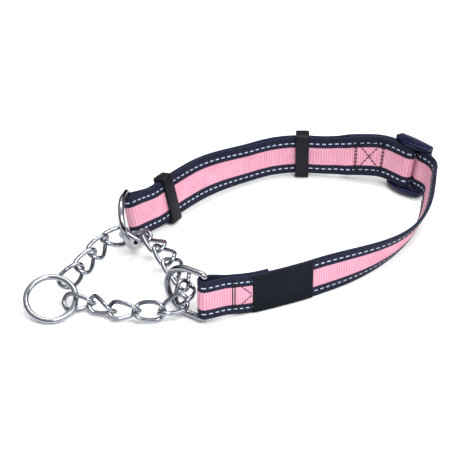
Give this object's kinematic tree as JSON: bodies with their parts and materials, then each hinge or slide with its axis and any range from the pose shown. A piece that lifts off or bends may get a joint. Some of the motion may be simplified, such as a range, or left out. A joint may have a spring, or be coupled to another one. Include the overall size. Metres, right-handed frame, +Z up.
{
  "type": "martingale collar",
  "caption": "Dog collar of striped webbing with a sliding adjuster, two D-rings and a martingale chain that carries a leash ring",
  "frame": {"origin": "middle of the footprint, on the surface the collar stands on", "axes": "+Z up, the webbing stands on edge; +X from the leash ring towards the slider, the long way of the laid-out collar; +Y towards the far side with both layers"},
  "size_m": [0.235, 0.1598, 0.0354],
  "materials": {
    "webbing": "woven nylon, pink centre, black border",
    "label": "smooth woven patch, blank",
    "stitching": "bonded thread",
    "slider": "moulded, dark",
    "keepers": "moulded, black",
    "d_rings": "polished plated wire",
    "leash_ring": "polished plated wire",
    "chain": "polished plated wire"
  },
  "bodies": {
    "webbing": {"webbing_near_tail": "webbing", "webbing_near_loop": "webbing", "webbing_near_run": "webbing", "webbing_right_run": "webbing", "webbing_slider_pass": "webbing", "webbing_corner_outer": "webbing", "webbing_far_outer": "webbing", "webbing_far_loop": "webbing", "webbing_far_inner": "webbing", "webbing_corner_inner": "webbing", "webbing_slider_loop": "webbing", "webbing_end_tail": "webbing", "label_patch": "label", "ring_end_stitching": "stitching", "slider_end_stitching": "stitching", "triglide_slider": "slider"},
    "mid_keeper": {"mid_keeper": "keepers"},
    "left_keeper": {"left_keeper": "keepers"},
    "near_d_ring": {"near_d_ring": "d_rings"},
    "far_d_ring": {"far_d_ring": "d_rings"},
    "leash_ring": {"leash_ring": "leash_ring"},
    "chain_link_01": {"chain_link_01": "chain"},
    "chain_link_02": {"chain_link_02": "chain"},
    "chain_link_03": {"chain_link_03": "chain"},
    "chain_link_04": {"chain_link_04": "chain"},
    "chain_link_05": {"chain_link_05": "chain"},
    "chain_link_06": {"chain_link_06": "chain"},
    "chain_link_07": {"chain_link_07": "chain"},
    "chain_link_08": {"chain_link_08": "chain"},
    "chain_link_09": {"chain_link_09": "chain"},
    "chain_link_10": {"chain_link_10": "chain"},
    "chain_link_11": {"chain_link_11": "chain"},
    "chain_link_12": {"chain_link_12": "chain"},
    "chain_link_13": {"chain_link_13": "chain"},
    "chain_link_14": {"chain_link_14": "chain"},
    "chain_link_15": {"chain_link_15": "chain"}
  },
  "joints": [
    {"name": "mid_keeper_slide", "type": "hinge", "parent": "webbing", "child": "mid_keeper", "pos_m": [0.03793, 0.02321, 0.015], "axis": [0, 0, 1], "range_deg": [-1, 25]},
    {"name": "left_keeper_slide", "type": "hinge", "parent": "webbing", "child": "left_keeper", "pos_m": [0.14479, -0.11492, 0.016], "axis": [0, 0, 1], "range_deg": [-4, 0]},
    {"name": "near_d_ring_swing", "type": "hinge", "parent": "webbing", "child": "near_d_ring", "pos_m": [-0.01781, -0.07461, 0.0171], "axis": [0, 0, 1], "range_deg": [-13, 8]},
    {"name": "far_d_ring_swing", "type": "hinge", "parent": "webbing", "child": "far_d_ring", "pos_m": [-0.0597, 0.00556, 0.01715], "axis": [-0.2198, 0.262, 0.9397], "range_deg": [-5, 7]},
    {"name": "link_05_swing", "type": "hinge", "parent": "webbing", "child": "chain_link_05", "pos_m": [-0.05741, -0.00981, 0.0135], "axis": [0, 0, 1], "range_deg": [-7, 6]},
    {"name": "link_04_swing", "type": "hinge", "parent": "chain_link_05", "child": "chain_link_04", "pos_m": [-0.06338, -0.0095, 0.01402], "axis": [0, 0, 1], "range_deg": [-7, 6]},
    {"name": "link_03_swing", "type": "hinge", "parent": "chain_link_04", "child": "chain_link_03", "pos_m": [-0.07432, -0.01745, 0.01545], "axis": [0, 0, 1], "range_deg": [-12, 14]},
    {"name": "link_02_swing", "type": "hinge", "parent": "chain_link_03", "child": "chain_link_02", "pos_m": [-0.08047, -0.02952, 0.01426], "axis": [0, 0, 1], "range_deg": [-12, 14]},
    {"name": "link_01_swing", "type": "hinge", "parent": "chain_link_02", "child": "chain_link_01", "pos_m": [-0.08702, -0.04133, 0.0126], "axis": [0, 0, 1], "range_deg": [-14, 12]},
    {"name": "link_06_swing", "type": "hinge", "parent": "chain_link_05", "child": "chain_link_06", "pos_m": [-0.05144, -0.01012, 0.01298], "axis": [0, 0, 1], "range_deg": [-6, 7]},
    {"name": "link_07_swing", "type": "hinge", "parent": "chain_link_06", "child": "chain_link_07", "pos_m": [-0.04345, -0.02113, 0.01298], "axis": [0, 0, 1], "range_deg": [-12, 14]},
    {"name": "link_08_swing", "type": "hinge", "parent": "chain_link_07", "child": "chain_link_08", "pos_m": [-0.0377, -0.03345, 0.01274], "axis": [0, 0, 1], "range_deg": [-21, 18]},
    {"name": "link_10_swing", "type": "hinge", "parent": "webbing", "child": "chain_link_10", "pos_m": [-0.02841, -0.06421, 0.0128], "axis": [0, 0, 1], "range_deg": [-12, 4]},
    {"name": "link_09_swing", "type": "hinge", "parent": "chain_link_10", "child": "chain_link_09", "pos_m": [-0.02759, -0.05754, 0.01386], "axis": [0, 0, 1], "range_deg": [-4, 12]},
    {"name": "link_11_swing", "type": "hinge", "parent": "chain_link_10", "child": "chain_link_11", "pos_m": [-0.02913, -0.07009, 0.01186], "axis": [0, 0, 1], "range_deg": [-4, 12]},
    {"name": "link_12_swing", "type": "hinge", "parent": "chain_link_11", "child": "chain_link_12", "pos_m": [-0.04119, -0.07496, 0.00788], "axis": [0, 0, 1], "range_deg": [-4, 12]},
    {"name": "link_13_swing", "type": "hinge", "parent": "chain_link_12", "child": "chain_link_13", "pos_m": [-0.05471, -0.07354, 0.00765], "axis": [0, 0, 1], "range_deg": [-24, 8]},
    {"name": "link_14_swing", "type": "hinge", "parent": "chain_link_13", "child": "chain_link_14", "pos_m": [-0.06824, -0.07236, 0.00694], "axis": [0, 0, 1], "range_deg": [-8, 24]},
    {"name": "link_15_swing", "type": "hinge", "parent": "chain_link_14", "child": "chain_link_15", "pos_m": [-0.07964, -0.06496, 0.00646], "axis": [0, 0, 1], "range_deg": [-24, 8]},
    {"name": "leash_ring_tilt", "type": "hinge", "parent": "chain_link_01", "child": "leash_ring", "pos_m": [-0.09456, -0.05795, 0.00824], "axis": [-0.1887, 0.9643, 0.1855], "range_deg": [-10, 12]}
  ],
  "couplings": [
    {"joint": "link_04_swing", "follows": "link_05_swing", "ratio": 1},
    {"joint": "link_03_swing", "follows": "link_05_swing", "ratio": -2},
    {"joint": "link_02_swing", "follows": "link_05_swing", "ratio": -2},
    {"joint": "link_01_swing", "follows": "link_05_swing", "ratio": 2},
    {"joint": "link_06_swing", "follows": "link_05_swing", "ratio": -1},
    {"joint": "link_07_swing", "follows": "link_05_swing", "ratio": -2},
    {"joint": "link_08_swing", "follows": "link_05_swing", "ratio": 3},
    {"joint": "link_09_swing", "follows": "link_10_swing", "ratio": -1},
    {"joint": "link_11_swing", "follows": "link_10_swing", "ratio": -1},
    {"joint": "link_12_swing", "follows": "link_10_swing", "ratio": -1},
    {"joint": "link_13_swing", "follows": "link_10_swing", "ratio": 2},
    {"joint": "link_14_swing", "follows": "link_10_swing", "ratio": -2},
    {"joint": "link_15_swing", "follows": "link_10_swing", "ratio": 2}
  ]
}
